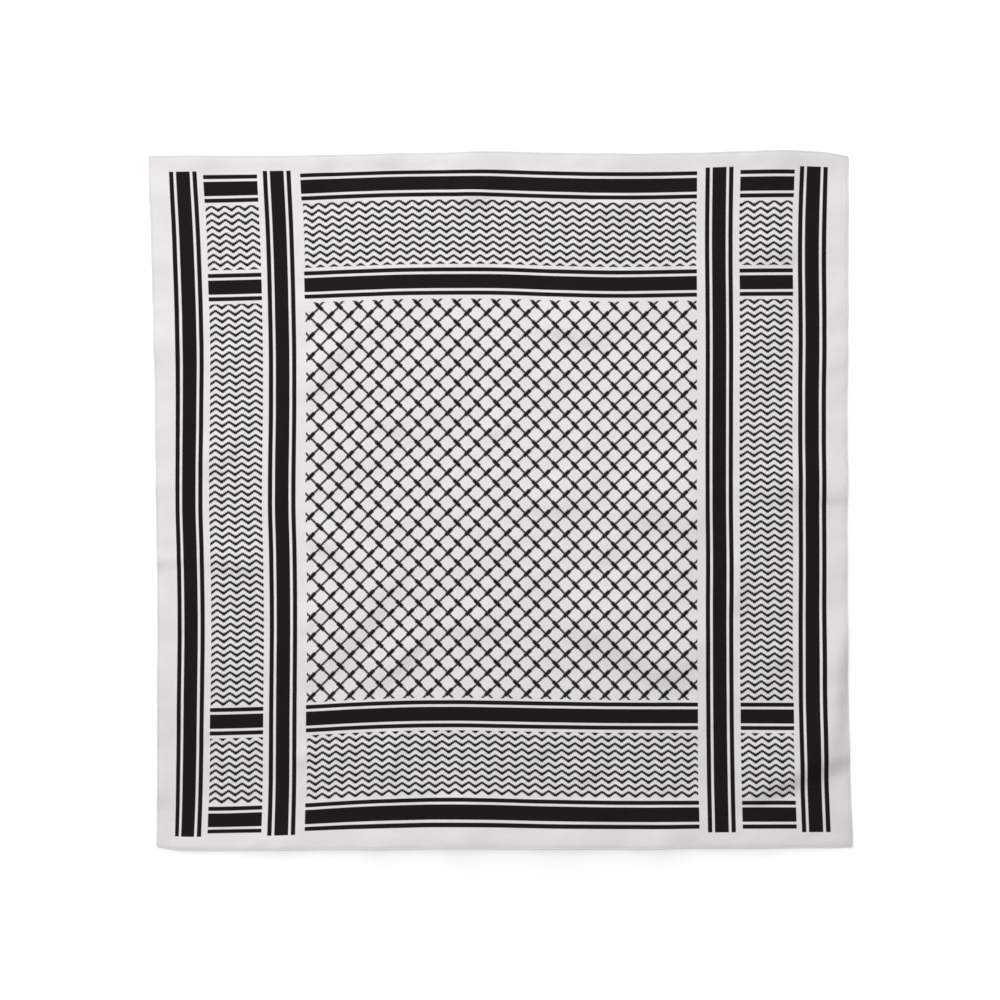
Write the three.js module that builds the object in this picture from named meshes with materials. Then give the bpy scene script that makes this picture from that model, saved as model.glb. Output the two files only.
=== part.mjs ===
import * as THREE from 'three';

// A shemagh pattern bandana: one square of thin cotton with a narrow turned hem on each side, laid
// out flat with its print upwards. Millimetres, +X across the print, +Y to its head and +Z up. The
// origin is on the surface that the cloth lies on, below the middle of the cloth.

// Cloth
const halfAcross = 267.2; // from the middle to a side edge, as the cloth lies
const halfAlong = 268.4; // from the middle to the head or foot edge
const clothThickness = 1;
const bandAcross = 204.7; // from the middle to a pair of printed side bands
const bandAlong = 205; // from the middle to a pair of printed end bands
const cellsPerHalf = 22; // grid cells from the hem's shoulder to the middle

// Hem, turned under along all four edges
const hemWidth = 3.6;
const hemThickness = 1;
const seamGap = 0.3; // between two pieces that are sewn together
const hemShoulder = 7; // the cloth comes down from its hem over this width
const hemRun = hemWidth + 0.4; // the cloth stays level a little past the hem

const groundColor = 0xe4e0e3;
const hemColor = 0xd9d5d8;
const clothRoughness = 0.92;

// How far the cloth has crept sideways from a straight square, at heights from head to foot
const sideSway = [
  { at: 260, leftHem: -4.5, leftBand: -5.2, rightBand: 0.3, rightHem: 1.3 },
  { at: 200, leftHem: -2.6, leftBand: -2.2, rightBand: -0.8, rightHem: 0.7 },
  { at: 125, leftHem: -0.6, leftBand: 0.4, rightBand: -0.2, rightHem: 0.5 },
  { at: 75, leftHem: 0.7, leftBand: 0.4, rightBand: -0.5, rightHem: 0.0 },
  { at: 0, leftHem: 1.4, leftBand: -0.3, rightBand: -0.2, rightHem: 0.0 },
  { at: -40, leftHem: 2.2, leftBand: 0.6, rightBand: 0.1, rightHem: 0.0 },
  { at: -95, leftHem: 2.7, leftBand: 1.2, rightBand: -0.1, rightHem: 0.3 },
  { at: -160, leftHem: 2.2, leftBand: 0.8, rightBand: 0.2, rightHem: 0.9 },
  { at: -215, leftHem: 2.2, leftBand: 0.1, rightBand: 0.9, rightHem: 2.4 },
  { at: -260, leftHem: 2.3, leftBand: -0.9, rightBand: 2.2, rightHem: 4.3 },
];

// How far it has crept towards the head, at places from the left side to the right
const endSway = [
  { at: 267, headHem: -2.2, headBand: 1.4, footBand: 0.8, footHem: 1.5 },
  { at: 245, headHem: 1.2, headBand: 1.6, footBand: 0.9, footHem: 0.9 },
  { at: 190, headHem: 1.9, headBand: 1.9, footBand: 1.1, footHem: 0.7 },
  { at: 150, headHem: 0.4, headBand: 0.9, footBand: 1.0, footHem: 0.5 },
  { at: 90, headHem: -0.4, headBand: 0.0, footBand: 1.1, footHem: -0.2 },
  { at: 40, headHem: 0.4, headBand: 1.0, footBand: 1.8, footHem: -0.1 },
  { at: 0, headHem: 1.2, headBand: 2.2, footBand: 2.4, footHem: 0.0 },
  { at: -35, headHem: 0.5, headBand: 2.4, footBand: 3.1, footHem: 0.3 },
  { at: -75, headHem: -0.3, headBand: 2.1, footBand: 2.6, footHem: -0.3 },
  { at: -115, headHem: -1.1, headBand: 0.7, footBand: 1.0, footHem: -0.5 },
  { at: -150, headHem: -1.9, headBand: -0.7, footBand: -1.0, footHem: -0.9 },
  { at: -205, headHem: -1.9, headBand: -2.2, footBand: -3.0, footHem: -1.6 },
  { at: -245, headHem: -1.9, headBand: -3.1, footBand: -3.5, footHem: -1.9 },
  { at: -267, headHem: -1.9, headBand: -3.2, footBand: -3.6, footHem: 1.2 },
];

// Puckers: soft ridges that start at an edge and run in. "at" is the place along that edge.
const puckers = {
  head: [
    { at: -223, reach: 34, width: 26, height: 1.8 },
    { at: -142, reach: 46, width: 22, height: 2.6 },
    { at: -84, reach: 30, width: 30, height: 1.8 },
    { at: -16, reach: 62, width: 34, height: 3.0 },
    { at: 90, reach: 40, width: 40, height: 2.2 },
    { at: 213, reach: 36, width: 34, height: 2.4 },
  ],
  foot: [
    { at: -236, reach: 30, width: 22, height: 1.8 },
    { at: -176, reach: 44, width: 36, height: 2.4 },
    { at: -98, reach: 28, width: 24, height: 1.4 },
    { at: -30, reach: 50, width: 28, height: 2.6 },
    { at: 44, reach: 32, width: 34, height: 1.6 },
    { at: 122, reach: 40, width: 30, height: 2.2 },
    { at: 196, reach: 34, width: 26, height: 1.8 },
  ],
  left: [
    { at: 241, reach: 28, width: 22, height: 0.9 },
    { at: 192, reach: 34, width: 26, height: 1.0 },
    { at: 126, reach: 52, width: 22, height: 1.4 },
    { at: 57, reach: 38, width: 26, height: 1.1 },
    { at: 12, reach: 30, width: 22, height: 1.0 },
    { at: -26, reach: 40, width: 28, height: 1.1 },
    { at: -84, reach: 32, width: 26, height: 0.9 },
    { at: -146, reach: 48, width: 40, height: 1.2 },
    { at: -217, reach: 36, width: 30, height: 1.1 },
  ],
  right: [
    { at: 226, reach: 30, width: 22, height: 1.1 },
    { at: 150, reach: 40, width: 26, height: 1.0 },
    { at: 112, reach: 34, width: 20, height: 1.3 },
    { at: 52, reach: 28, width: 26, height: 0.9 },
    { at: -44, reach: 34, width: 28, height: 1.0 },
    { at: -108, reach: 44, width: 36, height: 1.4 },
    { at: -240, reach: 30, width: 22, height: 1.1 },
  ],
};

// Creases, as it was folded in its packet and handled: soft ridges between two places on the surface.
// A ridge is rightWidth wide on its right side and leftWidth on its left, and a bow bends it to the right.
const creases = [
  // upper left
  { from: [-154.7, 71.4], to: [-115.3, 134.6], bow: 0, rightWidth: 11, leftWidth: 24, height: 1.3 },
  // left band, upper
  { from: [-231.8, 13.5], to: [-198.6, 67.5], bow: 3, rightWidth: 11, leftWidth: 22, height: 1.2 },
  // upper right
  { from: [19.7, 137.7], to: [86.0, 119.2], bow: -2.5, rightWidth: 10, leftWidth: 34, height: 1.3 },
  // packet fold, right of the middle
  { from: [84.5, 5.0], to: [170.0, -21.0], bow: 0, rightWidth: 25, leftWidth: 58, height: 2.1 },
  // packet fold, right side
  { from: [182.0, 16.0], to: [300.0, 9.5], bow: 0, rightWidth: 17, leftWidth: 26, height: 1.5 },
  // long lower left
  { from: [-160.0, -147.5], to: [-68.0, -32.5], bow: 5, rightWidth: 19, leftWidth: 28, height: 2.2 },
  // beside the long one
  { from: [-103.8, -149.3], to: [-49.8, -93.7], bow: 0, rightWidth: 10, leftWidth: 22, height: 1.7 },
  // below the middle, left
  { from: [-156.0, -17.0], to: [-96.0, -59.8], bow: 0, rightWidth: 12, leftWidth: 26, height: 1.2 },
  // left band, lower
  { from: [-231.8, -39.7], to: [-184.0, -55.0], bow: 0, rightWidth: 12, leftWidth: 18, height: 1.2 },
  // long lower right
  { from: [34.0, -74.0], to: [168.0, -140.0], bow: 5, rightWidth: 24, leftWidth: 46, height: 2.6 },
  // right band, upper
  { from: [182.0, 194.0], to: [235.0, 196.0], bow: 0, rightWidth: 14, leftWidth: 24, height: 1.2 },
  // lower right corner
  { from: [170.0, -243.0], to: [300.0, -180.0], bow: -4, rightWidth: 14, leftWidth: 44, height: 2.9 },
  // along the right edge
  { from: [254.0, -218.0], to: [267.0, -106.0], bow: 0, rightWidth: 11, leftWidth: 30, height: 2.6 },
];

// A smooth fall from 1 to 0 as a distance goes from start to end
function fall(distance, start, end) {
  return 1 - THREE.MathUtils.smoothstep(distance, start, end);
}

// A smooth curve through one column of a table whose rows run from the highest place to the lowest
function throughRows(rows, column, place) {
  const inside = THREE.MathUtils.clamp(place, rows[rows.length - 1].at, rows[0].at);
  let lower = 1;
  while (lower < rows.length - 1 && inside < rows[lower].at) lower += 1;
  const upper = lower - 1;
  const above = rows[Math.max(upper - 1, 0)];
  const below = rows[Math.min(lower + 1, rows.length - 1)];
  const start = rows[upper];
  const end = rows[lower];
  const span = end.at - start.at;
  const startSlope = ((end[column] - above[column]) / (end.at - above.at)) * span;
  const endSlope = ((below[column] - start[column]) / (below.at - start.at)) * span;
  const t = (inside - start.at) / span;
  const rise = end[column] - start[column];
  const cubic = startSlope + endSlope - 2 * rise;
  const square = 3 * rise - 2 * startSlope - endSlope;
  return start[column] + t * (startSlope + t * (square + t * cubic));
}

// A value between four stations: the lower hem, the lower band, the upper band and the upper hem
function betweenStations(place, band, hem, values) {
  const [lowHem, lowBand, highBand, highHem] = values;
  if (place < -band) return THREE.MathUtils.mapLinear(place, -hem, -band, lowHem, lowBand);
  if (place > band) return THREE.MathUtils.mapLinear(place, band, hem, highBand, highHem);
  return THREE.MathUtils.mapLinear(place, -band, band, lowBand, highBand);
}

function sidewaysCreep(across, along) {
  const columns = ['leftHem', 'leftBand', 'rightBand', 'rightHem'];
  const values = columns.map((column) => throughRows(sideSway, column, along));
  return betweenStations(across, bandAcross, halfAcross, values);
}

function headwardCreep(across, along) {
  const columns = ['footHem', 'footBand', 'headBand', 'headHem'];
  const values = columns.map((column) => throughRows(endSway, column, across));
  return betweenStations(along, bandAlong, halfAlong, values);
}

// A rounded ridge, full in the middle and gone at its width to either side
function ridge(distance, width) {
  if (Math.abs(distance) >= width) return 0;
  return Math.cos((distance / width) * (Math.PI / 2)) ** 2;
}

function puckerLift(across, along) {
  const places = {
    head: { inward: halfAlong - along, beside: across },
    foot: { inward: halfAlong + along, beside: across },
    left: { inward: halfAcross + across, beside: along },
    right: { inward: halfAcross - across, beside: along },
  };
  let lift = 0;
  for (const [edge, rows] of Object.entries(puckers)) {
    const { inward, beside } = places[edge];
    for (const pucker of rows) {
      lift += pucker.height * ridge(beside - pucker.at, pucker.width) * fall(inward, 0, pucker.reach);
    }
  }
  return lift;
}

function creaseLift(x, y) {
  let lift = 0;
  for (const { from, to, bow, rightWidth, leftWidth, height } of creases) {
    const runX = to[0] - from[0];
    const runY = to[1] - from[1];
    const long = Math.hypot(runX, runY);
    const onX = x - from[0];
    const onY = y - from[1];
    const share = THREE.MathUtils.clamp((onX * runX + onY * runY) / long ** 2, 0, 1);
    const beside = (onX * runY - onY * runX) / long - bow * 4 * share * (1 - share);
    const width = beside > 0 ? rightWidth : leftWidth;
    lift += height * ridge(beside, width) * fall(Math.abs(2 * share - 1), 0.35, 1);
  }
  return lift;
}

function hemLift(across, along) {
  const inward = Math.min(halfAcross - Math.abs(across), halfAlong - Math.abs(along));
  return (seamGap + hemThickness) * fall(inward, hemRun, hemWidth + hemShoulder);
}

// Where a point of the cloth lies, at a height above the cloth's underside
function onCloth(across, along, height) {
  const x = across + sidewaysCreep(across, along);
  const y = along + headwardCreep(across, along);
  const underside = hemLift(across, along) + puckerLift(across, along) + creaseLift(x, y);
  return new THREE.Vector3(x, y, underside + height);
}

// Grid lines from one edge to the other, closer together over the hem and its shoulder
function gridLines(half) {
  const shoulder = half - hemWidth - hemShoulder;
  const lines = [-half, hemRun - half];
  for (let cell = -cellsPerHalf; cell <= cellsPerHalf; cell += 1) {
    lines.push((shoulder * cell) / cellsPerHalf);
  }
  lines.push(half - hemRun, half);
  return lines;
}

// A closed wall over a grid of places, between two heights above the cloth's underside
function wallGeometry(acrossLines, alongLines, bottom, top) {
  const columns = acrossLines.length;
  const rows = alongLines.length;
  const layer = columns * rows;
  const points = [];
  for (const height of [bottom, top]) {
    for (const along of alongLines) {
      for (const across of acrossLines) points.push(onCloth(across, along, height));
    }
  }
  const faces = [];
  const addQuad = (first, second, third, fourth) => {
    faces.push(first, second, third, first, third, fourth);
  };
  for (let row = 0; row < rows - 1; row += 1) {
    for (let column = 0; column < columns - 1; column += 1) {
      const corner = row * columns + column;
      const next = corner + columns;
      addQuad(corner, next, next + 1, corner + 1);
      addQuad(layer + corner, layer + corner + 1, layer + next + 1, layer + next);
    }
  }
  for (let column = 0; column < columns - 1; column += 1) {
    const foot = column;
    const head = (rows - 1) * columns + column;
    addQuad(foot, foot + 1, layer + foot + 1, layer + foot);
    addQuad(head + 1, head, layer + head, layer + head + 1);
  }
  for (let row = 0; row < rows - 1; row += 1) {
    const left = row * columns;
    const right = left + columns - 1;
    addQuad(left + columns, left, layer + left, layer + left + columns);
    addQuad(right, right + columns, layer + right + columns, layer + right);
  }
  const geometry = new THREE.BufferGeometry().setFromPoints(points);
  geometry.setIndex(faces);
  geometry.computeVertexNormals();
  return geometry;
}

function addPiece(group, name, geometry, color) {
  const material = new THREE.MeshStandardMaterial({ color, roughness: clothRoughness, metalness: 0 });
  const mesh = new THREE.Mesh(geometry, material);
  mesh.name = name;
  group.add(mesh);
}

function addCloth(group) {
  const geometry = wallGeometry(gridLines(halfAcross), gridLines(halfAlong), 0, clothThickness);
  addPiece(group, 'cloth', geometry, groundColor);
}

// The head and foot hems run the whole width, and the side hems fit between them
function addHems(group) {
  const top = -seamGap;
  const bottom = top - hemThickness;
  const sideEnd = halfAlong - hemWidth - seamGap;
  const sideLines = gridLines(halfAlong).filter((line) => Math.abs(line) < sideEnd);
  const acrossLines = gridLines(halfAcross);
  const alongLines = [-sideEnd, ...sideLines, sideEnd];
  const strips = [
    { name: 'hem_head', across: acrossLines, along: [halfAlong - hemWidth, halfAlong] },
    { name: 'hem_foot', across: acrossLines, along: [-halfAlong, hemWidth - halfAlong] },
    { name: 'hem_left', across: [-halfAcross, hemWidth - halfAcross], along: alongLines },
    { name: 'hem_right', across: [halfAcross - hemWidth, halfAcross], along: alongLines },
  ];
  for (const { name, across, along } of strips) {
    addPiece(group, name, wallGeometry(across, along, bottom, top), hemColor);
  }
}

const bandana = new THREE.Group();
addCloth(bandana);
addHems(bandana);

export default bandana;
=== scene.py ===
import math
import bpy
import numpy as np
from mathutils import Matrix, Vector, noise


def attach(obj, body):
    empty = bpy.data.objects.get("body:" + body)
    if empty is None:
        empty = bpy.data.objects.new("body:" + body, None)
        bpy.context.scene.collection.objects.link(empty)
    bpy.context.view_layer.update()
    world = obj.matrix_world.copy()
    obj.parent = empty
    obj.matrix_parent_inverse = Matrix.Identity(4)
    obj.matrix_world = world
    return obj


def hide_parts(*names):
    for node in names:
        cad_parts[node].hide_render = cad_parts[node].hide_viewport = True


# A shemagh pattern bandana: one printed square of thin cotton, laid out flat, with a narrow hem
# stitched along each side. Sizes are in millimetres and are turned into metres as meshes are laid.
# "across" runs from the left side to the right, and "along" from the foot to the head.

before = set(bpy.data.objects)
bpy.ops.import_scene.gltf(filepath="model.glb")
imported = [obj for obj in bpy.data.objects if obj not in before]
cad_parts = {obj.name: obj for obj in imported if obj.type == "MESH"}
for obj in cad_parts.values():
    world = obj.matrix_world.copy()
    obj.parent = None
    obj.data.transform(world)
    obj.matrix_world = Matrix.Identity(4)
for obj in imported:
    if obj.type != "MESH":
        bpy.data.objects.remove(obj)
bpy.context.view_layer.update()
mm = 0.001

clothSize = {
    "halfAcross": 267.2,  # middle to a side edge, as the cloth lies
    "halfAlong": 268.4,  # middle to the head or foot edge
    "cut": 540,  # side of the square before it was laid, hems turned
    "thickness": 0.28,
    "lift": 0.04,  # under the cloth where it lies flat
    "cornerRound": 2,
    "cells": 95,  # grid cells from the middle to a hem
}

hemSize = {
    "width": 3.6,
    "shoulder": 11,  # the cloth comes down from its hem over this width
    "run": 4,  # the cloth stays level this far in
    "rollRadius": 0.35,  # of the fold at the very edge
    "rollTurn": 2.7,  # radians that the cloth turns under
    "rollSteps": 7,
    "fineFrom": 0.8,  # the grid is finer from this far inside the hem
    "fineCells": 7,
    "stripBottom": 0.11,
    "stripThickness": 0.28,
    "stripTuck": 0.315,  # of the turned strip, in from the edge
    "stripCells": 4,  # across the strip
    "stripStep": 2.4,  # length of its cells
    "stripBevel": 0.112,
    "sharpAngle": 50,
    "seamGap": 0.3,  # between two hems at a corner
    "grooveDepth": 0.12,
    "grooveWidth": 0.9,
    "ropeHeight": 0.13,  # slight waves that the sewing pulls into a hem
    "ropeLength": 9,
    "ropeLayer": 5.3,  # layers of the noise, so that no two are alike
    "wander": 0.35,  # of the edge, to either side
    "wanderLength": 26,
    "acrossLayer": 1.5,
    "alongLayer": 2.5,
    "liftWidth": 54,  # the edge comes down over this width
    "lifts": {"head": 0.25, "foot": 2.4, "left": 0.6, "right": 0.3},  # of the edges off the floor
}

stitchSize = {
    "inset": 1.5,  # from the edge
    "pitch": 2.5,
    "length": 2.25,
    "width": 0.3,
    "height": 0.2,
    "dipShare": 0.6,  # of the height, by which the ends go down
    "sink": 0.03,
    "jitter": 0.05,
    "paintedShadeHalf": 0.5,  # of the line of painted shade under the stitches
    "paintedShadeSoft": 0.8,
    "sides": 6,
    "rings": 6,
    "seed": 12,
}

# The print, in flat millimetres from the middle of the cloth
printSize = {
    "edge": 0.45,  # over which the ink of the stripes fades out
    "fineEdge": 1.1,  # and that of the zigzags and the lattice, which has run a little
    "middle": 0.4,  # the printed square sits this far to the right
    "endThick": 10.8,
    "endThin": 3,
    "sideThick": 10.5,
    "sideThin": 3.2,
    "thinAt": 9,  # from the middle of a thick stripe to the middle of the thin ones beside it
    "outerAcross": 240.6,  # middle to the outer side stripes
    "innerAcross": 168.8,
    "outerAlong": 243,
    "innerAlong": 167,
    "sideRun": 256.2,  # how far the side stripes run to head and foot
    "fieldHalf": 151.3,  # end stripes run this far across the middle
    "cellInner": 184.4,
    "cellOuter": 225.55,
}

# How far the cloth has crept sideways, at places from head to foot
sideSway = {
    "at": [260, 200, 125, 75, 0, -40, -95, -160, -215, -260],
    "leftHem": [-4.5, -2.6, -0.6, 0.7, 1.4, 2.2, 2.7, 2.2, 2.2, 2.3],
    "leftOuter": [-4.8, -1.5, 0.9, 0.7, 0, 1.1, 1.8, 1.1, 0.2, -1],
    "leftInner": [-4.2, -1.4, 0.4, 0.6, -0.1, 0.8, 1.3, 0.8, 0.5, -0.3],
    "rightInner": [0, -0.6, -0.1, -0.2, -0.3, 0.1, 0, 0.3, 0.9, 1.7],
    "rightOuter": [1, -0.8, -0.3, -0.7, -0.4, -0.1, -0.3, -0.1, 1, 2.4],
    "rightHem": [1.3, 0.7, 0.5, 0, 0, 0, 0.3, 0.9, 2.4, 4.3],
}

# How far it has crept towards the head, at places from the right side to the left
endSway = {
    "at": [267, 245, 190, 150, 90, 40, 0, -35, -75, -115, -150, -205, -245, -267],
    "headHem": [-2.2, 1.2, 1.9, 0.4, -0.4, 0.4, 1.2, 0.5, -0.3, -1.1, -1.9, -1.9, -1.9, -1.9],
    "headOuter": [1.8, 1.9, 1.6, 0.8, -0.1, 0.9, 2.1, 2.4, 2.1, 0.8, -0.8, -2.2, -3, -3.3],
    "headInner": [1.8, 1.9, 1.7, 1.1, 0.2, 1.2, 2.5, 2.6, 2.2, 0.9, -0.5, -2.1, -2.9, -3.1],
    "footInner": [0.8, 0.8, 0.9, 1, 1.1, 1.7, 2.4, 2.9, 2.5, 1, -0.9, -2.9, -3.5, -3.6],
    "footOuter": [1.4, 1.5, 1.5, 1.4, 1.4, 2.1, 3.2, 3.9, 3.2, 1.6, -0.6, -3, -3.4, -3.4],
    "footHem": [1.5, 0.9, 0.7, 0.5, -0.2, -0.1, 0, 0.3, -0.3, -0.5, -0.7, -1.1, -1.3, 1.4],
}

# Soft ridges that start at an edge and run in
puckers = {
    "head": {
        "at": [-223, -142, -84, -16, 90, 213],
        "reach": [34, 46, 30, 62, 40, 36],
        "width": [26, 22, 30, 34, 40, 34],
        "height": [1.8, 2.6, 1.8, 3, 2.2, 2.4],
    },
    "foot": {
        "at": [-236, -176, -98, -30, 44, 122, 196],
        "reach": [30, 44, 28, 50, 32, 40, 34],
        "width": [22, 36, 24, 28, 34, 30, 26],
        "height": [1.8, 2.4, 1.4, 2.6, 1.6, 2.2, 1.8],
    },
    "left": {
        "at": [241, 192, 126, 57, 12, -26, -84, -146, -217],
        "reach": [28, 34, 52, 38, 30, 40, 32, 48, 36],
        "width": [22, 26, 22, 26, 22, 28, 26, 40, 30],
        "height": [0.9, 1, 1.4, 1.1, 1, 1.1, 0.9, 1.2, 1.1],
    },
    "right": {
        "at": [226, 150, 112, 52, -44, -108, -240],
        "reach": [30, 40, 34, 28, 34, 44, 30],
        "width": [22, 26, 20, 26, 28, 36, 22],
        "height": [1.1, 1, 1.3, 0.9, 1, 1.4, 1.1],
    },
}

# Creases, as ridges from one place to another on the floor: fromX, fromY, toX, toY, bow, width to
# the right, width to the left, height. A bow bends the ridge to its right.
creaseLevel = 0.35  # share of a crease's length, round its middle, that keeps its whole height
creases = [
    (-154.7, 71.4, -115.3, 134.6, 0, 11, 26, 1.6),  # upper left
    (-104, 68, -70, 54, 0, 12, 26, 1.1),
    (-231.8, 13.5, -196, 68, 3, 10, 26, 1.6),  # left band, upper
    (-226, 193, -207, 206, 0, 10, 12, 0.7),
    (-224, 103, -203, 117, 0, 12, 16, 1.0),
    (-36, 236.5, -6, 235, 0, 11, 14, 1.8),  # below the head edge
    (68, 226, 104, 224, 0, 13, 16, 1.7),
    (19.7, 137.7, 86, 119.2, -2.5, 10, 38, 1.8),  # upper right
    (112, 97, 138, 88, 0, 9, 20, 0.8),
    (-14, 58, 8, 52, 0, 11, 20, 1.2),
    (-60, 12, -44, 22, 0, 9, 18, 0.6),
    (84.5, 6, 172, -19, 0, 28, 62, 2.7),  # packet fold, right of the middle
    (9, 0, 68, -2, 0, 13, 34, 1.5),  # packet fold, middle
    (178, 17, 300, 9.5, 0, 24, 36, 2.4),  # packet fold, right side
    (238, -4.5, 290, -4.5, 0, 6, 7, -0.6),
    (-160, -147.5, -68, -32.5, 5, 19, 42, 2.3),  # long lower left
    (-163.9, -109.2, -122.3, -67.5, 0, 9, 24, 1.0),
    (-103.8, -149.3, -49.8, -93.7, 0, 10, 30, 1.7),  # beside the long one
    (-56, -98.5, 4, -93.7, 0, 10, 26, 1.1),
    (-156, -17, -96, -59.8, 0, 12, 26, 1.7),  # below the middle, left
    (-84, -23, -64, -3, 0, 8, 12, 0.7),
    (-231.8, -39.7, -184, -55, 0, 12, 22, 1.7),  # left band, lower
    (-290, -47.4, -222, -44, 0, 8, 10, 0.9),
    (-89.1, -223.3, -76, -170.9, 0, 8, 15, 1.7),  # foot band
    (-123, -204, -119, -181, 0, 8, 12, 0.8),
    (-158, -205, -148, -190, 0, 10, 14, 0.9),
    (-66, -192, -46, -184, 0, 10, 14, 0.9),
    (20, -198, 38, -188, 0, 9, 14, 0.8),
    (52, -214, 80, -202, 0, 12, 18, 1.2),
    (118, -224, 140, -212, 0, 10, 14, 0.9),
    (34, -74, 168, -140, 5, 24, 58, 2.9),  # long lower right
    (66, -49, 92, -33, 0, 12, 20, 0.8),
    (182, 194, 235, 196, 0, 16, 26, 1.6),  # right band, upper
    (179, -94, 183, -30, 0, 16, 12, 2.0),  # beside the right stripes
    (196, -119, 231, -121, 0, 12, 18, 1.1),
    (166, -241, 300, -180, -4, 16, 60, 3.4),  # lower right corner
    (252, -214, 262, -88, 0, 13, 26, 3.6),  # along the right edge
]

crinkle = {
    "longSize": 34,
    "longHeight": 0.74,
    "longLayer": 3.7,
    "shortSize": 13,
    "shortHeight": 0.43,
    "shortLayer": 9.1,
    "restShare": 0.6,  # the cloth lies flat where it would go deeper than this share
}


def fall(distance, start, end):
    t = np.clip((distance - start) / (end - start), 0, 1)
    return 1 - t * t * (3 - 2 * t)


def ridge(distance, width):
    return np.cos(np.clip(distance / width, -1, 1) * math.pi / 2) ** 2


def throughRows(table, column, place):
    # a smooth curve through one column of a table
    at = np.array(table["at"][::-1], float)
    value = np.array(table[column][::-1], float)
    inside = np.clip(place, at[0], at[-1])
    upper = np.clip(np.searchsorted(at, inside), 1, len(at) - 1)
    lower = upper - 1
    before = np.maximum(lower - 1, 0)
    after = np.minimum(upper + 1, len(at) - 1)
    span = at[upper] - at[lower]
    startSlope = (value[upper] - value[before]) / (at[upper] - at[before]) * span
    endSlope = (value[after] - value[lower]) / (at[after] - at[lower]) * span
    rise = value[upper] - value[lower]
    t = (inside - at[lower]) / span
    cubic = startSlope + endSlope - 2 * rise
    square = 3 * rise - 2 * startSlope - endSlope
    return value[lower] + t * (startSlope + t * (square + t * cubic))


def betweenStations(place, half, values):
    # straight from one station to the next: a hem, the outer and inner stripe, and the same beyond
    outer, inner = half
    hem = max(clothSize["halfAcross"], clothSize["halfAlong"])
    stations = (-hem, -outer, -inner, inner, outer, hem)
    result = values[0]
    for start, end, fromValue, toValue in zip(stations, stations[1:], values, values[1:]):
        result = result + (toValue - fromValue) * np.clip((place - start) / (end - start), 0, 1)
    return result


def sidewaysCreep(across, along):
    columns = ("leftHem", "leftOuter", "leftInner", "rightInner", "rightOuter", "rightHem")
    values = [throughRows(sideSway, column, along) for column in columns]
    return betweenStations(across, (printSize["outerAcross"], printSize["innerAcross"]), values)


def headwardCreep(across, along):
    columns = ("footHem", "footOuter", "footInner", "headInner", "headOuter", "headHem")
    values = [throughRows(endSway, column, across) for column in columns]
    return betweenStations(along, (printSize["outerAlong"], printSize["innerAlong"]), values)


def edgeLift(across, along):
    # the edges' own small lift, and the puckers that run in from them
    places = {
        "head": (clothSize["halfAlong"] - along, across),
        "foot": (clothSize["halfAlong"] + along, across),
        "left": (clothSize["halfAcross"] + across, along),
        "right": (clothSize["halfAcross"] - across, along),
    }
    own = 0
    lift = 0
    for edge, rows in puckers.items():
        inward, beside = places[edge]
        own = np.maximum(own, hemSize["lifts"][edge] * fall(inward, 0, hemSize["liftWidth"]))
        columns = rows["at"], rows["reach"], rows["width"], rows["height"]
        for at, reach, width, height in zip(*columns):
            lift = lift + height * ridge(beside - at, width) * fall(inward, 0, reach)
    return own + lift


def creaseLift(x, y):
    lift = 0
    for fromX, fromY, toX, toY, bow, rightWidth, leftWidth, height in creases:
        runX, runY = toX - fromX, toY - fromY
        long = math.hypot(runX, runY)
        onX, onY = x - fromX, y - fromY
        share = np.clip((onX * runX + onY * runY) / long**2, 0, 1)
        beside = (onX * runY - onY * runX) / long - bow * 4 * share * (1 - share)
        width = np.where(beside > 0, rightWidth, leftWidth)
        lift = lift + height * ridge(beside, width) * fall(abs(2 * share - 1), creaseLevel, 1)
    return lift


def noiseAt(across, along, size, layer):
    # smooth noise from -1 to 1, with one bump about every size millimetres
    points = zip(across.ravel() / size, along.ravel() / size)
    values = [noise.noise(Vector((x, y, layer))) for x, y in points]
    return np.array(values).reshape(across.shape)


def crinkleLift(across, along):
    size = crinkle
    long = size["longHeight"] * noiseAt(across, along, size["longSize"], size["longLayer"])
    short = size["shortHeight"] * noiseAt(across, along, size["shortSize"], size["shortLayer"])
    return np.maximum(long + short + size["restShare"] * size["longHeight"], 0)


def inwardFrom(across, along):
    return np.minimum(clothSize["halfAcross"] - abs(across), clothSize["halfAlong"] - abs(along))


def roundCorners(across, along, extra=0):
    # a square corner, with extra beyond the edge, becomes a round one by the map from a square to
    # a disc. Gives the place where the round starts, and the way and distance from there.
    radius = clothSize["cornerRound"]
    baseAcross = np.minimum(abs(across), clothSize["halfAcross"] - radius)
    baseAlong = np.minimum(abs(along), clothSize["halfAlong"] - radius)
    p = (abs(across) - baseAcross) / (radius + extra)
    q = (abs(along) - baseAlong) / (radius + extra)
    wayAcross, wayAlong = p * np.sqrt(1 - q * q / 2), q * np.sqrt(1 - p * p / 2)
    share = np.maximum(np.hypot(wayAcross, wayAlong), 1e-9)
    return baseAcross, baseAlong, wayAcross / share, wayAlong / share, share * (radius + extra)


def layDown(across, along, height):
    # where a place on the square cloth lies, in metres; height is above the underside of the hem
    size = hemSize
    hem = fall(inwardFrom(across, along), size["run"], size["width"] + size["shoulder"])
    rope = noiseAt(across, along, size["ropeLength"], size["ropeLayer"]) * size["ropeHeight"]
    besides = noiseAt(along, along * 0, size["wanderLength"], size["acrossLayer"])
    ends = noiseAt(across, across * 0, size["wanderLength"], size["alongLayer"])
    x = across + sidewaysCreep(across, along) + besides * size["wander"] * hem
    y = along + headwardCreep(across, along) + ends * size["wander"] * hem
    z = edgeLift(across, along) + np.maximum(creaseLift(x, y), 0)
    z = z + crinkleLift(across, along) + (rope + size["ropeHeight"]) * hem + height
    return np.stack([x, y, z], axis=-1) * mm


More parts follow.
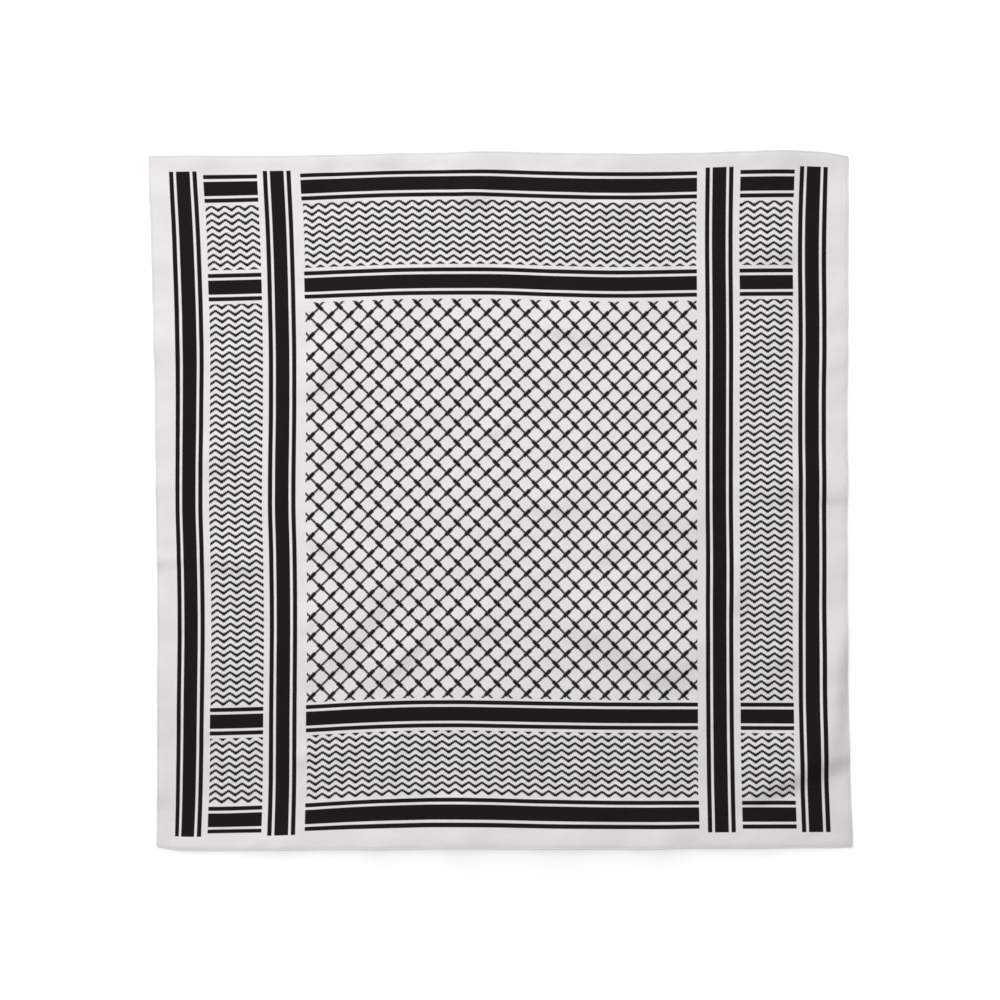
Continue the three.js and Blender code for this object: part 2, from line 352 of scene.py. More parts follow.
def layRound(across, along, height):
    # as layDown, for hems and stitches, which follow the round corners
    baseAcross, baseAlong, wayAcross, wayAlong, away = roundCorners(across, along)
    roundAcross = np.sign(across) * (baseAcross + away * wayAcross)
    roundAlong = np.sign(along) * (baseAlong + away * wayAlong)
    return layDown(roundAcross, roundAlong, height)


def deselectAll():
    bpy.ops.object.select_all(action="DESELECT")


def useOnly(piece):
    deselectAll()
    piece.select_set(True)
    bpy.context.view_layer.objects.active = piece


def applyModifier(piece, kind, **settings):
    useOnly(piece)
    modifier = piece.modifiers.new(kind.title(), kind)
    for name, value in settings.items():
        setattr(modifier, name, value)
    bpy.ops.object.modifier_apply(modifier=modifier.name)


def readPoints(piece):
    points = np.empty(len(piece.data.vertices) * 3)
    piece.data.vertices.foreach_get("co", points)
    return points.reshape(-1, 3)


def writePoints(piece, points):
    piece.data.vertices.foreach_set("co", np.asarray(points, np.float32).ravel())
    piece.data.update()


def writeFlatMap(piece, across, along):
    # the flat place of each point, in millimetres, as the piece's UV map
    flatMap = piece.data.uv_layers.get("flatCloth") or piece.data.uv_layers.new(name="flatCloth")
    corners = np.empty(len(piece.data.loops), int)
    piece.data.loops.foreach_get("vertex_index", corners)
    places = np.stack([across, along], axis=-1)[corners]
    flatMap.data.foreach_set("uv", places.astype(np.float32).ravel())


def addGrid(name, cellsAcross, cellsAlong):
    deselectAll()
    bpy.ops.mesh.primitive_grid_add(
        x_subdivisions=cellsAcross, y_subdivisions=cellsAlong, size=2, calc_uvs=True)
    piece = bpy.context.object
    piece.name = piece.data.name = name
    piece.data.uv_layers[0].name = "flatCloth"
    return piece


def sheetLines(half):
    # grid lines from one edge of the flat sheet to the other, with the part that rolls under
    size, hem = clothSize, hemSize
    shoulder = half - hem["width"] - hem["fineFrom"]
    rollStart = half - hem["rollRadius"]
    rollEnd = rollStart + hem["rollRadius"] * hem["rollTurn"]
    oneSide = np.concatenate([
        np.linspace(0, shoulder, size["cells"] + 1),
        np.linspace(shoulder, rollStart, hem["fineCells"] + 1)[1:],
        np.linspace(rollStart, rollEnd, hem["rollSteps"] + 1)[1:],
    ])
    return np.concatenate([-oneSide[:0:-1], oneSide])


def rolled(across, along):
    # a place on the flat sheet after its edge is rolled under, and how far that brings it down
    radius = hemSize["rollRadius"]
    extra = radius * (hemSize["rollTurn"] - 1)
    baseAcross, baseAlong, wayAcross, wayAlong, away = roundCorners(across, along, extra)
    straight = clothSize["cornerRound"] - radius
    turn = np.maximum(away - straight, 0) / radius
    reach = np.minimum(away, straight) + radius * np.sin(turn)
    newAcross = np.sign(across) * (baseAcross + reach * wayAcross)
    newAlong = np.sign(along) * (baseAlong + reach * wayAlong)
    return newAcross, newAlong, radius * (1 - np.cos(turn))


def sheetHeight(inward):
    # top of the sheet above the hem's underside: over the hem, down its shoulder, and in the field
    size, hem = clothSize, hemSize
    level = size["lift"] + size["thickness"]
    rise = 2 * hem["rollRadius"] - level
    groove = hem["grooveDepth"] * ridge(inward - stitchSize["inset"], hem["grooveWidth"])
    return level + rise * fall(inward, hem["run"], hem["width"] + hem["shoulder"]) - groove


def makeCloth():
    print("cloth: grid, roll, lay, thickness")
    size = clothSize
    linesAcross, linesAlong = sheetLines(size["halfAcross"]), sheetLines(size["halfAlong"])
    cloth = addGrid("bandana_cloth", len(linesAcross) - 1, len(linesAlong) - 1)
    even = readPoints(cloth)
    flatAcross = np.interp(even[:, 0], np.linspace(-1, 1, len(linesAcross)), linesAcross)
    flatAlong = np.interp(even[:, 1], np.linspace(-1, 1, len(linesAlong)), linesAlong)
    writeFlatMap(cloth, flatAcross, flatAlong)
    across, along, down = rolled(flatAcross, flatAlong)
    writePoints(cloth, layDown(across, along, sheetHeight(inwardFrom(across, along)) - down))
    cloth.data.materials.append(clothFace)
    cloth.data.materials.append(clothReverse)
    applyModifier(cloth, "SOLIDIFY", thickness=size["thickness"] * mm, offset=-1,
                  material_offset=1, material_offset_rim=0)
    cloth.data.shade_smooth()
    return cloth


def makeHem(name, fromAcross, toAcross, fromAlong, toAlong):
    # one strip of the turned hem, a flat double layer with round edges under the sheet
    hem = hemSize
    long = max(toAcross - fromAcross, toAlong - fromAlong)
    cells = int(long / hem["stripStep"])
    isAlong = toAlong - fromAlong > toAcross - fromAcross
    if isAlong:
        strip = addGrid(name, hem["stripCells"], cells)
    else:
        strip = addGrid(name, cells, hem["stripCells"])
    even = readPoints(strip)
    even[:, 0] = np.interp(even[:, 0], [-1, 1], [fromAcross, toAcross])
    even[:, 1] = np.interp(even[:, 1], [-1, 1], [fromAlong, toAlong])
    writePoints(strip, even)
    applyModifier(strip, "SOLIDIFY", thickness=hem["stripThickness"], offset=1)
    applyModifier(strip, "BEVEL", width=hem["stripBevel"], segments=2, limit_method="ANGLE")
    flat = readPoints(strip)
    writeFlatMap(strip, flat[:, 0], flat[:, 1])
    writePoints(strip, layRound(flat[:, 0], flat[:, 1], flat[:, 2] + hem["stripBottom"]))
    strip.data.materials.append(hemCotton)
    useOnly(strip)
    bpy.ops.object.shade_smooth_by_angle(angle=math.radians(hem["sharpAngle"]))
    return strip


def makeHems():
    print("hems: four turned strips")
    outerAcross = clothSize["halfAcross"] - hemSize["stripTuck"]
    outerAlong = clothSize["halfAlong"] - hemSize["stripTuck"]
    innerAcross = clothSize["halfAcross"] - hemSize["width"]
    innerAlong = clothSize["halfAlong"] - hemSize["width"]
    sideEnd = innerAlong - hemSize["seamGap"]
    return {
        "hem_head": makeHem("turned_hem_head", -outerAcross, outerAcross, innerAlong, outerAlong),
        "hem_foot": makeHem("turned_hem_foot", -outerAcross, outerAcross, -outerAlong, -innerAlong),
        "hem_left": makeHem("turned_hem_left", -outerAcross, -innerAcross, -sideEnd, sideEnd),
        "hem_right": makeHem("turned_hem_right", innerAcross, outerAcross, -sideEnd, sideEnd),
    }


def makeStitch(name, height):
    # one stitch lying along X: a flattened bead whose ends dip into the cloth
    size = stitchSize
    deselectAll()
    bpy.ops.mesh.primitive_uv_sphere_add(
        segments=size["sides"], ring_count=size["rings"], radius=0.5, calc_uvs=True)
    stitch = bpy.context.object
    stitch.name = stitch.data.name = name
    stitch.data.uv_layers[0].name = "flatCloth"
    ball = readPoints(stitch)
    x = ball[:, 2] * size["length"]
    dip = (2 * ball[:, 2]) ** 4 * size["height"] * size["dipShare"]
    z = ball[:, 1] * size["height"] + height - dip
    writePoints(stitch, np.stack([x, ball[:, 0] * size["width"], z], axis=-1))
    return stitch


def makeStitchRow(name, halfLength, height):
    size = stitchSize
    count = int(2 * (halfLength - size["inset"]) / size["pitch"])
    row = makeStitch(name, height)
    applyModifier(row, "ARRAY", count=count, use_relative_offset=False, use_constant_offset=True,
                  constant_offset_displace=(size["pitch"], 0, 0))
    row.data.transform(Matrix.Translation((-(count - 1) * size["pitch"] / 2, 0, 0)))
    return row


def makeStitching(name, height):
    print("stitching:", name)
    size = stitchSize
    across, along = clothSize["halfAcross"], clothSize["halfAlong"]
    sides = [
        (across, 0, Vector((0, along - size["inset"], 0))),
        (across, math.pi, Vector((0, size["inset"] - along, 0))),
        (along, math.pi / 2, Vector((size["inset"] - across, 0, 0))),
        (along, -math.pi / 2, Vector((across - size["inset"], 0, 0))),
    ]
    rows = []
    for halfLength, turn, place in sides:
        row = makeStitchRow(name, halfLength, height)
        row.data.transform(Matrix.Translation(place) @ Matrix.Rotation(turn, 4, "Z"))
        rows.append(row)
    deselectAll()
    for row in rows:
        row.select_set(True)
    bpy.context.view_layer.objects.active = rows[0]
    bpy.ops.object.join()
    stitching = bpy.context.object
    stitching.name = stitching.data.name = name
    flat = readPoints(stitching)
    pointsEach = 2 + size["sides"] * (size["rings"] - 1)
    random = np.random.default_rng(size["seed"])
    shift = random.normal(0, size["jitter"], (len(flat) // pointsEach, 2))
    flat[:, :2] += np.repeat(shift, pointsEach, axis=0)
    writeFlatMap(stitching, flat[:, 0], flat[:, 1])
    writePoints(stitching, layRound(flat[:, 0], flat[:, 1], flat[:, 2]))
    stitching.data.materials.append(hemThread)
    stitching.data.shade_smooth()
    return stitching


def addNode(tree, kind, **settings):
    node = tree.nodes.new(kind)
    for name, value in settings.items():
        setattr(node, name, value)
    return node


def feed(tree, socket, value):
    if isinstance(value, bpy.types.NodeSocket):
        tree.links.new(value, socket)
    else:
        socket.default_value = value


def calc(tree, operation, *values, clamp=False):
    node = addNode(tree, "ShaderNodeMath", operation=operation, use_clamp=clamp)
    for socket, value in zip(node.inputs, values):
        feed(tree, socket, value)
    return node.outputs[0]


def calcVector(tree, operation, first, second):
    # second is a vector, or a number for SCALE
    node = addNode(tree, "ShaderNodeVectorMath", operation=operation)
    feed(tree, node.inputs[0], first)
    feed(tree, node.inputs["Scale"] if operation == "SCALE" else node.inputs[1], second)
    return node.outputs["Vector"]


def splitVector(tree, place):
    node = addNode(tree, "ShaderNodeSeparateXYZ")
    feed(tree, node.inputs[0], place)
    return node.outputs


def addNoise(tree, place, scale=1, detail=1, twist=0):
    node = addNode(tree, "ShaderNodeTexNoise", noise_dimensions="2D")
    feed(tree, node.inputs["Vector"], place)
    feed(tree, node.inputs["Scale"], scale)
    feed(tree, node.inputs["Detail"], detail)
    feed(tree, node.inputs["Distortion"], twist)
    return node.outputs


def distanceTo(tree, place, line):
    return calc(tree, "ABSOLUTE", calc(tree, "SUBTRACT", place, line))


def blendColors(tree, share, first, second):
    node = addNode(tree, "ShaderNodeMix", data_type="RGBA")
    feed(tree, node.inputs["Factor"], share)
    feed(tree, node.inputs["A"], first)
    feed(tree, node.inputs["B"], second)
    return node.outputs["Result"]


def startGroup(name, inputs, outputs):
    tree = bpy.data.node_groups.new(name, "ShaderNodeTree")
    for label, kind, value in inputs:
        socket = tree.interface.new_socket(label, in_out="INPUT", socket_type=kind)
        if value is not None:
            socket.default_value = value
    for label in outputs:
        tree.interface.new_socket(label, in_out="OUTPUT", socket_type="NodeSocketFloat")
    return tree, addNode(tree, "NodeGroupInput").outputs, addNode(tree, "NodeGroupOutput").inputs


def useGroup(tree, group, **values):
    node = addNode(tree, "ShaderNodeGroup", node_tree=group)
    for label, value in values.items():
        feed(tree, node.inputs[label], value)
    return node.outputs


# Zigzags and lattice, in flat millimetres too
zigzagSize = {
    "period": 10.255,
    "rows": 5.35,  # from one to the next
    "depth": 3.5,  # peak to valley
    "steps": 8,  # of the thread, along one period
    "stepDepth": 0.28,
    "halfStroke": 0.83,
    "valleyExtra": 0.32,  # the stroke is wider in the valleys
    "peakLeft": 5.3,  # place of a peak in the left, middle and right columns
    "peakMiddle": 5.45,
    "peakRight": 6.05,
    "rowHead": -0.18,  # place of a row at the head, in the middle and at the foot
    "rowMiddle": 4.67,
    "rowFoot": 4.37,
    "middleHalf": 150.65,
    "middleAt": 0.65,
    "sideInner": 184.35,
    "sideOuter": 225.1,
    "sideAt": 0.3,
    "headLow": 180.3,
    "headHigh": 230,
    "midLow": -155,
    "midHigh": 154,
    "footLow": -230,
    "footHigh": -180,
}

latticeSize = {
    "pitchAcross": 15.165,
    "pitchAlong": 15.42,
    "knotAcross": -139.8,  # one of the knots that lean to the left
    "knotAlong": 149.85,
    "halfLine": 0.62,
    "beads": 6,  # of the thread, from knot to knot
    "beadDepth": 0.16,
    "knotHalfWidth": 1.35,
    "knotHalfLength": 3.8,
    "knotShift": 1.2,  # of the other knots, up along their line
    "jog": 0.45,  # rising lines step to either side at a knot that lies across them
    "fromAcross": -150.5,
    "toAcross": 151.5,
    "fromAlong": -154.5,
    "toAlong": 153.5,
}


def within(tree, away, half, soft=printSize["edge"]):
    # 1 up to half away from a line, with a soft edge
    if isinstance(half, bpy.types.NodeSocket):
        gap = calc(tree, "SUBTRACT", half, away)
        return calc(tree, "MULTIPLY_ADD", gap, 1 / soft, 0.5, clamp=True)
    return calc(tree, "MULTIPLY_ADD", away, -1 / soft, half / soft + 0.5, clamp=True)


def between(tree, place, low, high):
    return within(tree, distanceTo(tree, place, (low + high) / 2), (high - low) / 2)


def either(tree, *masks):
    mask = masks[0]
    for other in masks[1:]:
        mask = calc(tree, "MAXIMUM", mask, other)
    return mask


def both(tree, *masks):
    mask = masks[0]
    for other in masks[1:]:
        mask = calc(tree, "MULTIPLY", mask, other)
    return mask


def stripeMask(tree, place, outer, inner, thickWidth, thinWidth):
    # a thick stripe between two thin ones, at two distances from the middle
    nearest = calc(tree, "MINIMUM", distanceTo(tree, place, outer), distanceTo(tree, place, inner))
    thick = within(tree, nearest, thickWidth / 2)
    thin = within(tree, distanceTo(tree, nearest, printSize["thinAt"]), thinWidth / 2)
    return either(tree, thick, thin)


def pickBySide(tree, place, limit, low, middle, high):
    # low below -limit, high above limit, middle between them
    above = calc(tree, "GREATER_THAN", place, limit)
    below = calc(tree, "LESS_THAN", place, -limit)
    value = calc(tree, "MULTIPLY_ADD", above, high - middle, middle)
    return calc(tree, "MULTIPLY_ADD", below, low - middle, value)


def zigzagMask(tree, across, along):
    size = zigzagSize
    peak = pickBySide(tree, across, printSize["innerAcross"], size["peakLeft"],
                      size["peakMiddle"], size["peakRight"])
    row = pickBySide(tree, along, printSize["innerAlong"], size["rowFoot"],
                     size["rowMiddle"], size["rowHead"])
    half = size["period"] / 2
    fromPeak = calc(tree, "PINGPONG", calc(tree, "SUBTRACT", across, peak), half)
    turns = calc(tree, "MULTIPLY", fromPeak, 2 * math.pi * size["steps"] / size["period"])
    stepped = calc(tree, "MULTIPLY_ADD", calc(tree, "SINE", turns), size["stepDepth"], along)
    onLine = calc(tree, "MULTIPLY_ADD", fromPeak, size["depth"] / half, stepped)
    fromRow = calc(tree, "PINGPONG", calc(tree, "SUBTRACT", onLine, row), size["rows"] / 2)
    stroke = calc(tree, "MULTIPLY_ADD", fromPeak, size["valleyExtra"] / half, size["halfStroke"])
    lines = within(tree, fromRow, stroke, printSize["fineEdge"])
    middle = within(tree, distanceTo(tree, across, size["middleAt"]), size["middleHalf"])
    outward = distanceTo(tree, across, size["sideAt"])
    side = between(tree, outward, size["sideInner"], size["sideOuter"])
    ends = either(tree, between(tree, along, size["headLow"], size["headHigh"]),
                  between(tree, along, size["footLow"], size["footHigh"]))
    sideRows = either(tree, ends, between(tree, along, size["midLow"], size["midHigh"]))
    return both(tree, lines, either(tree, both(tree, middle, ends), both(tree, side, sideRows)))


def latticeMask(tree, across, along):
    size = latticeSize
    reach = size["pitchAcross"] * size["pitchAlong"]
    reach = reach / math.hypot(size["pitchAcross"], size["pitchAlong"])
    stepAcross = calc(tree, "MULTIPLY", calc(tree, "SUBTRACT", across, size["knotAcross"]),
                      1 / size["pitchAcross"])
    stepDown = calc(tree, "MULTIPLY", calc(tree, "SUBTRACT", size["knotAlong"], along),
                    1 / size["pitchAlong"])
    falling = calc(tree, "SUBTRACT", stepAcross, stepDown)
    rising = calc(tree, "ADD", stepAcross, stepDown)
    wholeFalling, wholeRising = calc(tree, "ROUND", falling), calc(tree, "ROUND", rising)
    fromFalling = calc(tree, "MULTIPLY", calc(tree, "SUBTRACT", falling, wholeFalling), reach)
    fromRising = calc(tree, "MULTIPLY", calc(tree, "SUBTRACT", rising, wholeRising), reach)
    awayFalling = calc(tree, "ABSOLUTE", fromFalling)
    awayRising = calc(tree, "ABSOLUTE", fromRising)
    onward = calc(tree, "WRAP", calc(tree, "ADD", falling, wholeRising), 1, -1)
    step = calc(tree, "SUBTRACT", calc(tree, "SIGN", onward), onward)
    stepped = calc(tree, "MULTIPLY_ADD", step, size["jog"], fromRising)

    def beaded(beside, onward):
        turns = calc(tree, "MULTIPLY", onward, 2 * math.pi * size["beads"])
        return calc(tree, "ABSOLUTE", calc(tree, "MULTIPLY_ADD", calc(tree, "SINE", turns),
                                           size["beadDepth"], beside))

    nearest = calc(tree, "MINIMUM", beaded(fromFalling, rising), beaded(stepped, falling))
    lines = within(tree, nearest, size["halfLine"], printSize["fineEdge"])
    # the knots lean along the falling line where the two whole numbers add up to an even one
    odd = calc(tree, "PINGPONG", calc(tree, "ADD", wholeFalling, wholeRising), 1)
    even = calc(tree, "SUBTRACT", 1, odd)
    straight = size["knotHalfLength"] - size["knotHalfWidth"]

    def knots(beside, onward):
        past = calc(tree, "MAXIMUM", calc(tree, "SUBTRACT", onward, straight), 0)
        away = calc(tree, "SQRT", calc(tree, "ADD", calc(tree, "MULTIPLY", beside, beside),
                                       calc(tree, "MULTIPLY", past, past)))
        return within(tree, away, size["knotHalfWidth"], printSize["fineEdge"])

    shifted = distanceTo(tree, fromFalling, size["knotShift"])
    leaning = either(tree, both(tree, even, knots(awayFalling, awayRising)),
                     both(tree, odd, knots(awayRising, shifted)))
    box = both(tree, between(tree, across, size["fromAcross"], size["toAcross"]),
               between(tree, along, size["fromAlong"], size["toAlong"]))
    return both(tree, either(tree, lines, leaning), box)


def makePrintGroup():
    # Ink is 1 where the cloth is printed
    fray = fabricLook["fray"]
    tree, given, result = startGroup(
        "shemaghPrint", [("Place", "NodeSocketVector", None), ("Fray", "NodeSocketFloat", fray)],
        ["Ink"])
    threads = addNoise(tree, given["Place"], fabricLook["frayScale"])
    centred = calcVector(tree, "SUBTRACT", threads["Color"], (0.5, 0.5, 0.5))
    frayed = calcVector(tree, "SCALE", centred, given["Fray"])
    across, along = splitVector(tree, calcVector(tree, "ADD", given["Place"], frayed))[:2]
    size = printSize
    outward = calc(tree, "ABSOLUTE", across)
    upward = calc(tree, "ABSOLUTE", along)
    stripes = stripeMask(tree, outward, size["outerAcross"], size["innerAcross"],
                         size["sideThick"], size["sideThin"])
    sideStripes = both(tree, stripes, within(tree, upward, size["sideRun"]))
    fromMiddle = distanceTo(tree, across, size["middle"])
    runs = either(tree, within(tree, fromMiddle, size["fieldHalf"]),
                  between(tree, fromMiddle, size["cellInner"], size["cellOuter"]))
    stripes = stripeMask(tree, upward, size["outerAlong"], size["innerAlong"],
                         size["endThick"], size["endThin"])
    endStripes = both(tree, stripes, runs)
    ink = either(tree, sideStripes, endStripes, zigzagMask(tree, across, along),
                 latticeMask(tree, across, along))
    bare = calc(tree, "SUBTRACT", 1, ink)
    feed(tree, result["Ink"], calc(tree, "SUBTRACT", 1, calc(tree, "MULTIPLY", bare, bare)))
    return tree


def makeWeaveGroup():
    # plain weave: threads over and under, with thick and thin places along each thread
    pitch = fabricLook["pitch"]
    tree, given, result = startGroup(
        "plainWeave", [("Place", "NodeSocketVector", None), ("Pitch", "NodeSocketFloat", pitch)],
        ["Height", "Slub"])
    waves = []
    for place in splitVector(tree, given["Place"])[:2]:
        turns = calc(tree, "DIVIDE", calc(tree, "MULTIPLY", place, math.pi), given["Pitch"])
        waves.append(calc(tree, "SINE", turns))
    crossed = calc(tree, "MULTIPLY", *waves)
    feed(tree, result["Height"], calc(tree, "MULTIPLY_ADD", crossed, 0.5, 0.5))
    slubs = []
    fine, long = fabricLook["slubFine"], fabricLook["slubLong"]
    for stretch in ((fine, long, 1), (long, fine, 1)):
        moved = addNode(tree, "ShaderNodeMapping")
        feed(tree, moved.inputs["Vector"], given["Place"])
        moved.inputs["Scale"].default_value = stretch
        slubs.append(addNoise(tree, moved.outputs[0])["Fac"])
    feed(tree, result["Slub"], calc(tree, "MULTIPLY", calc(tree, "ADD", *slubs), 0.5))
    return tree


def makeCrumpleGroup():
    # small soft creases of cloth that has been handled
    size = fabricLook["crumpleSize"]
    tree, given, result = startGroup(
        "softCrumple", [("Place", "NodeSocketVector", None), ("Size", "NodeSocketFloat", size)],
        ["Height"])
    shrunk = calcVector(tree, "SCALE", given["Place"], calc(tree, "DIVIDE", 1, given["Size"]))
    soft = addNoise(tree, shrunk, detail=2, twist=fabricLook["crumpleTwist"])
    away = distanceTo(tree, soft["Fac"], 0.5)
    feed(tree, result["Height"], calc(tree, "MULTIPLY_ADD", away, -2, 1))
    return tree


fabricLook = {
    "ground": (0.845, 0.82, 0.829, 1),
    "groundDark": (0.803, 0.779, 0.789, 1),
    "ink": (0.0075, 0.0055, 0.0068, 1),
    "inkWorn": (0.017, 0.0135, 0.0155, 1),
    "bleed": (0.30, 0.287, 0.296, 1),  # where the print shows through to the reverse
    "hem": (0.835, 0.81, 0.819, 1),
    "hemDark": (0.765, 0.742, 0.752, 1),
    "thread": (0.86, 0.845, 0.85, 1),
    # painted shade in the furrows between the plies
    "threadFurrowShade": (0.72, 0.705, 0.712, 1),
    # painted shade of the stitch groove: its colour, and how much of it is mixed in
    "paintedSeamShadeColor": (0.4, 0.385, 0.392, 1),
    "paintedSeamShadeShare": 0.14,
    "roughness": 0.94,
    "shine": 0.12,
    "pitch": 0.38,  # of the threads
    "weaveDepth": 0.05,
    "slubFine": 2.2,  # changes to the millimetre from thread to thread, and along a thread
    "slubLong": 0.09,
    "crumpleSize": 15,
    "crumpleDepth": 0.16,
    "crumpleTwist": 0.6,
    "plyTurns": 14,
    "plyDepth": 0.04,
    "fray": 0.14,  # how far the edge of the ink strays
    "frayScale": 1.9,
    "frayReverse": 0.5,
    "bleedShare": 0.55,
}


def startMaterial(name, roughness, shine):
    material = bpy.data.materials.new(name)
    material.use_nodes = True
    tree = material.node_tree
    shader = tree.nodes["Principled BSDF"]
    shader.inputs["Roughness"].default_value = roughness
    shader.inputs["Specular IOR Level"].default_value = shine
    return material, tree, shader


def startYarn(name):
    material, tree, shader = startMaterial(name, fabricLook["roughness"], fabricLook["shine"])
    flatPlace = addNode(tree, "ShaderNodeUVMap", uv_map="flatCloth").outputs["UV"]
    return material, tree, shader, flatPlace


def startCotton(name):
    material, tree, shader, flatPlace = startYarn(name)
    weave = useGroup(tree, weaveGroup, Place=flatPlace, Pitch=fabricLook["pitch"])
    return material, tree, shader, flatPlace, weave


def addBump(tree, shader, height, depth):
    bump = addNode(tree, "ShaderNodeBump")
    feed(tree, bump.inputs["Height"], height)
    bump.inputs["Strength"].default_value = 1
    bump.inputs["Distance"].default_value = depth * mm
    feed(tree, shader.inputs["Normal"], bump.outputs[0])


def addClothBumps(tree, shader, flatPlace, weave):
    look = fabricLook
    crumple = useGroup(tree, crumpleGroup, Place=flatPlace, Size=look["crumpleSize"])
    share = look["weaveDepth"] / look["crumpleDepth"]
    height = calc(tree, "MULTIPLY_ADD", weave["Height"], share, crumple["Height"])
    addBump(tree, shader, height, look["crumpleDepth"])


def addPaintedSeamShade(tree, flatPlace, ground):
    # the line of stitches sits in a groove of the hem; the groove's shade is painted as a darker
    # line in the cloth's colour
    look, size = fabricLook, stitchSize
    across, along = splitVector(tree, flatPlace)[:2]
    besides = calc(tree, "SUBTRACT", clothSize["halfAcross"], calc(tree, "ABSOLUTE", across))
    ends = calc(tree, "SUBTRACT", clothSize["halfAlong"], calc(tree, "ABSOLUTE", along))
    away = distanceTo(tree, calc(tree, "MINIMUM", besides, ends), size["inset"])
    groove = within(tree, away, size["paintedShadeHalf"], size["paintedShadeSoft"])
    share = calc(tree, "MULTIPLY", groove, look["paintedSeamShadeShare"])
    return blendColors(tree, share, ground, look["paintedSeamShadeColor"])


def makeClothFace():
    look = fabricLook
    material, tree, shader, flatPlace, weave = startCotton("printedCottonFace")
    ground = blendColors(tree, weave["Slub"], look["groundDark"], look["ground"])
    # painted shade along the stitch groove
    ground = addPaintedSeamShade(tree, flatPlace, ground)
    inked = useGroup(tree, printGroup, Place=flatPlace, Fray=look["fray"])
    ink = blendColors(tree, weave["Slub"], look["ink"], look["inkWorn"])
    feed(tree, shader.inputs["Base Color"], blendColors(tree, inked["Ink"], ground, ink))
    addClothBumps(tree, shader, flatPlace, weave)
    return material


def makeClothReverse():
    look = fabricLook
    material, tree, shader, flatPlace, weave = startCotton("printedCottonReverse")
    ground = blendColors(tree, weave["Slub"], look["groundDark"], look["ground"])
    inked = useGroup(tree, printGroup, Place=flatPlace, Fray=look["frayReverse"])
    strength = calc(tree, "MULTIPLY_ADD", weave["Slub"], 0.5, look["bleedShare"])
    through = calc(tree, "MULTIPLY", inked["Ink"], strength)
    feed(tree, shader.inputs["Base Color"], blendColors(tree, through, ground, look["bleed"]))
    addClothBumps(tree, shader, flatPlace, weave)
    return material


def makeHemCotton():
    look = fabricLook
    material, tree, shader, flatPlace, weave = startCotton("hemCotton")
    ground = blendColors(tree, weave["Slub"], look["hemDark"], look["hem"])
    feed(tree, shader.inputs["Base Color"], ground)
    addClothBumps(tree, shader, flatPlace, weave)
    return material


def makeHemThread():
    # two plies, as fine diagonal ridges along each stitch, with painted shade darkening the furrows
    # between them
    look = fabricLook
    material, tree, shader, flatPlace = startYarn("hemThread")
    slant = calc(tree, "ADD", *splitVector(tree, flatPlace)[:2])
    turns = calc(tree, "MULTIPLY", slant, look["plyTurns"])
    plies = calc(tree, "MULTIPLY_ADD", calc(tree, "SINE", turns), 0.5, 0.5)
    color = blendColors(tree, plies, look["threadFurrowShade"], look["thread"])
    feed(tree, shader.inputs["Base Color"], color)
    addBump(tree, shader, plies, look["plyDepth"])
    return material


# Lights and floor, in metres; what is seen, in millimetres
studio = {
    "cameraHeight": 2.2,
    "viewWidth": 771.4,
    "viewAcross": -0.55,
    "viewAlong": 0.77,
    "sensor": 36,
    "floorSize": 30,
    "floorDrop": 0.05,
    "floorColor": (0.7, 0.7, 0.7, 1),
    "floorGlow": 0.405,
    "outerGlow": 0.84,  # well away from the middle, where less light falls
    "glowFrom": 0.25,
    "glowTo": 0.56,
    "keyFrom": Vector((-0.5, 1.7, 1.2)),
    "keyTo": Vector((0.0, 0.0, 0.0)),
    "keySize": 2.6,
    "keyPower": 44.8,
    "overFrom": Vector((-0.1, 0.0, 1.0)),
    "overTo": Vector((-0.1, 0.0, 0.0)),
    "overSize": 0.7,
    "overPower": 4.45,
    "worldColor": (1, 1, 1, 1),
    "worldStrength": 0.148,
}


def makeCamera():
    size = studio
    place = (size["viewAcross"] * mm, size["viewAlong"] * mm, size["cameraHeight"])
    bpy.ops.object.camera_add(location=place, rotation=(0, 0, 0))
    camera = bpy.context.object
    camera.data.sensor_width = size["sensor"]
    camera.data.lens = size["sensor"] * size["cameraHeight"] / (size["viewWidth"] * mm)
    bpy.context.scene.camera = camera


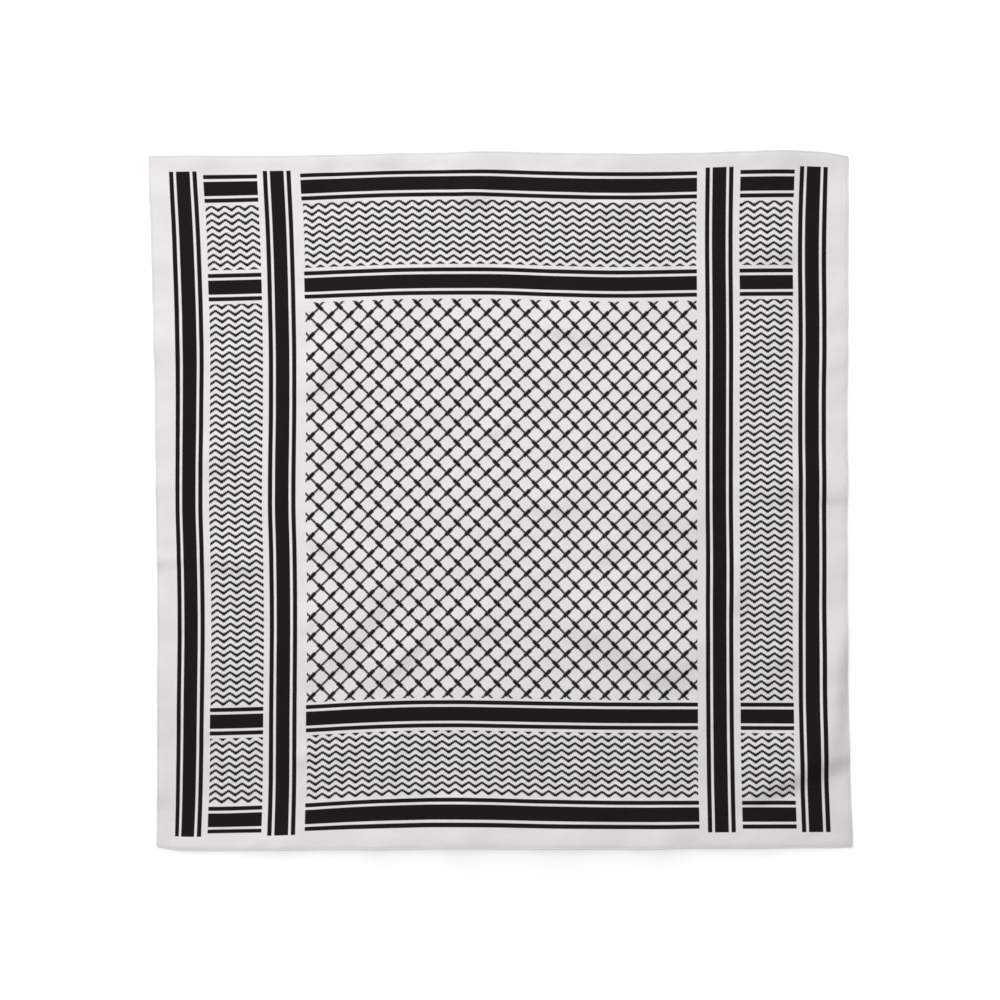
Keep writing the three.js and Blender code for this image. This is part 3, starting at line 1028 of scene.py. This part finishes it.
def makeFloor():
    size = studio
    deselectAll()
    bpy.ops.mesh.primitive_plane_add(size=size["floorSize"],
                                     location=(0, 0, -size["floorDrop"] * mm))
    floor = bpy.context.object
    floor.name = floor.data.name = "studioFloor"
    material, tree, shader = startMaterial("paleFloor", 1, 0)
    shader.inputs["Base Color"].default_value = size["floorColor"]
    shader.inputs["Emission Color"].default_value = (1, 1, 1, 1)
    away = addNode(tree, "ShaderNodeVectorMath", operation="LENGTH")
    feed(tree, away.inputs[0], addNode(tree, "ShaderNodeTexCoord").outputs["Object"])
    glow = addNode(tree, "ShaderNodeMapRange", interpolation_type="SMOOTHSTEP")
    feed(tree, glow.inputs["Value"], away.outputs["Value"])
    feed(tree, glow.inputs["From Min"], size["glowFrom"])
    feed(tree, glow.inputs["From Max"], size["glowTo"])
    feed(tree, glow.inputs["To Min"], size["floorGlow"])
    feed(tree, glow.inputs["To Max"], size["outerGlow"])
    feed(tree, shader.inputs["Emission Strength"], glow.outputs["Result"])
    floor.data.materials.append(material)


def makeAreaLight(kind):
    size = studio
    source = size[kind + "From"]
    bpy.ops.object.light_add(type="AREA", location=source)
    light = bpy.context.object
    light.name = light.data.name = kind + "Light"
    light.data.shape = "DISK"
    light.data.size = size[kind + "Size"]
    light.data.energy = size[kind + "Power"]
    light.rotation_euler = (size[kind + "To"] - source).to_track_quat("-Z", "Y").to_euler()
    light.visible_camera = False


def makeLights():
    size = studio
    makeAreaLight("key")
    makeAreaLight("over")
    world = bpy.context.scene.world or bpy.data.worlds.new("studio")
    bpy.context.scene.world = world
    world.use_nodes = True
    sky = world.node_tree.nodes["Background"]
    sky.inputs["Color"].default_value = size["worldColor"]
    sky.inputs["Strength"].default_value = size["worldStrength"]
    bpy.context.scene.view_settings.view_transform = "Standard"


print("materials")
printGroup = makePrintGroup()
weaveGroup = makeWeaveGroup()
crumpleGroup = makeCrumpleGroup()
clothFace = makeClothFace()
clothReverse = makeClothReverse()
hemCotton = makeHemCotton()
hemThread = makeHemThread()

cloth = makeCloth()
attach(cloth, "root")
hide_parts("cloth")

hems = makeHems()
for node, strip in hems.items():
    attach(strip, "root")
    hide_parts(node)

faceHeight = 2 * hemSize["rollRadius"] - hemSize["grooveDepth"] + stitchSize["sink"]
backHeight = hemSize["stripBottom"] - stitchSize["height"] / 2
stitchings = [makeStitching("hem_stitching_face", faceHeight),
              makeStitching("hem_stitching_back", backHeight)]
for stitching in stitchings:
    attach(stitching, "root")

print("studio")
makeCamera()
makeFloor()
makeLights()
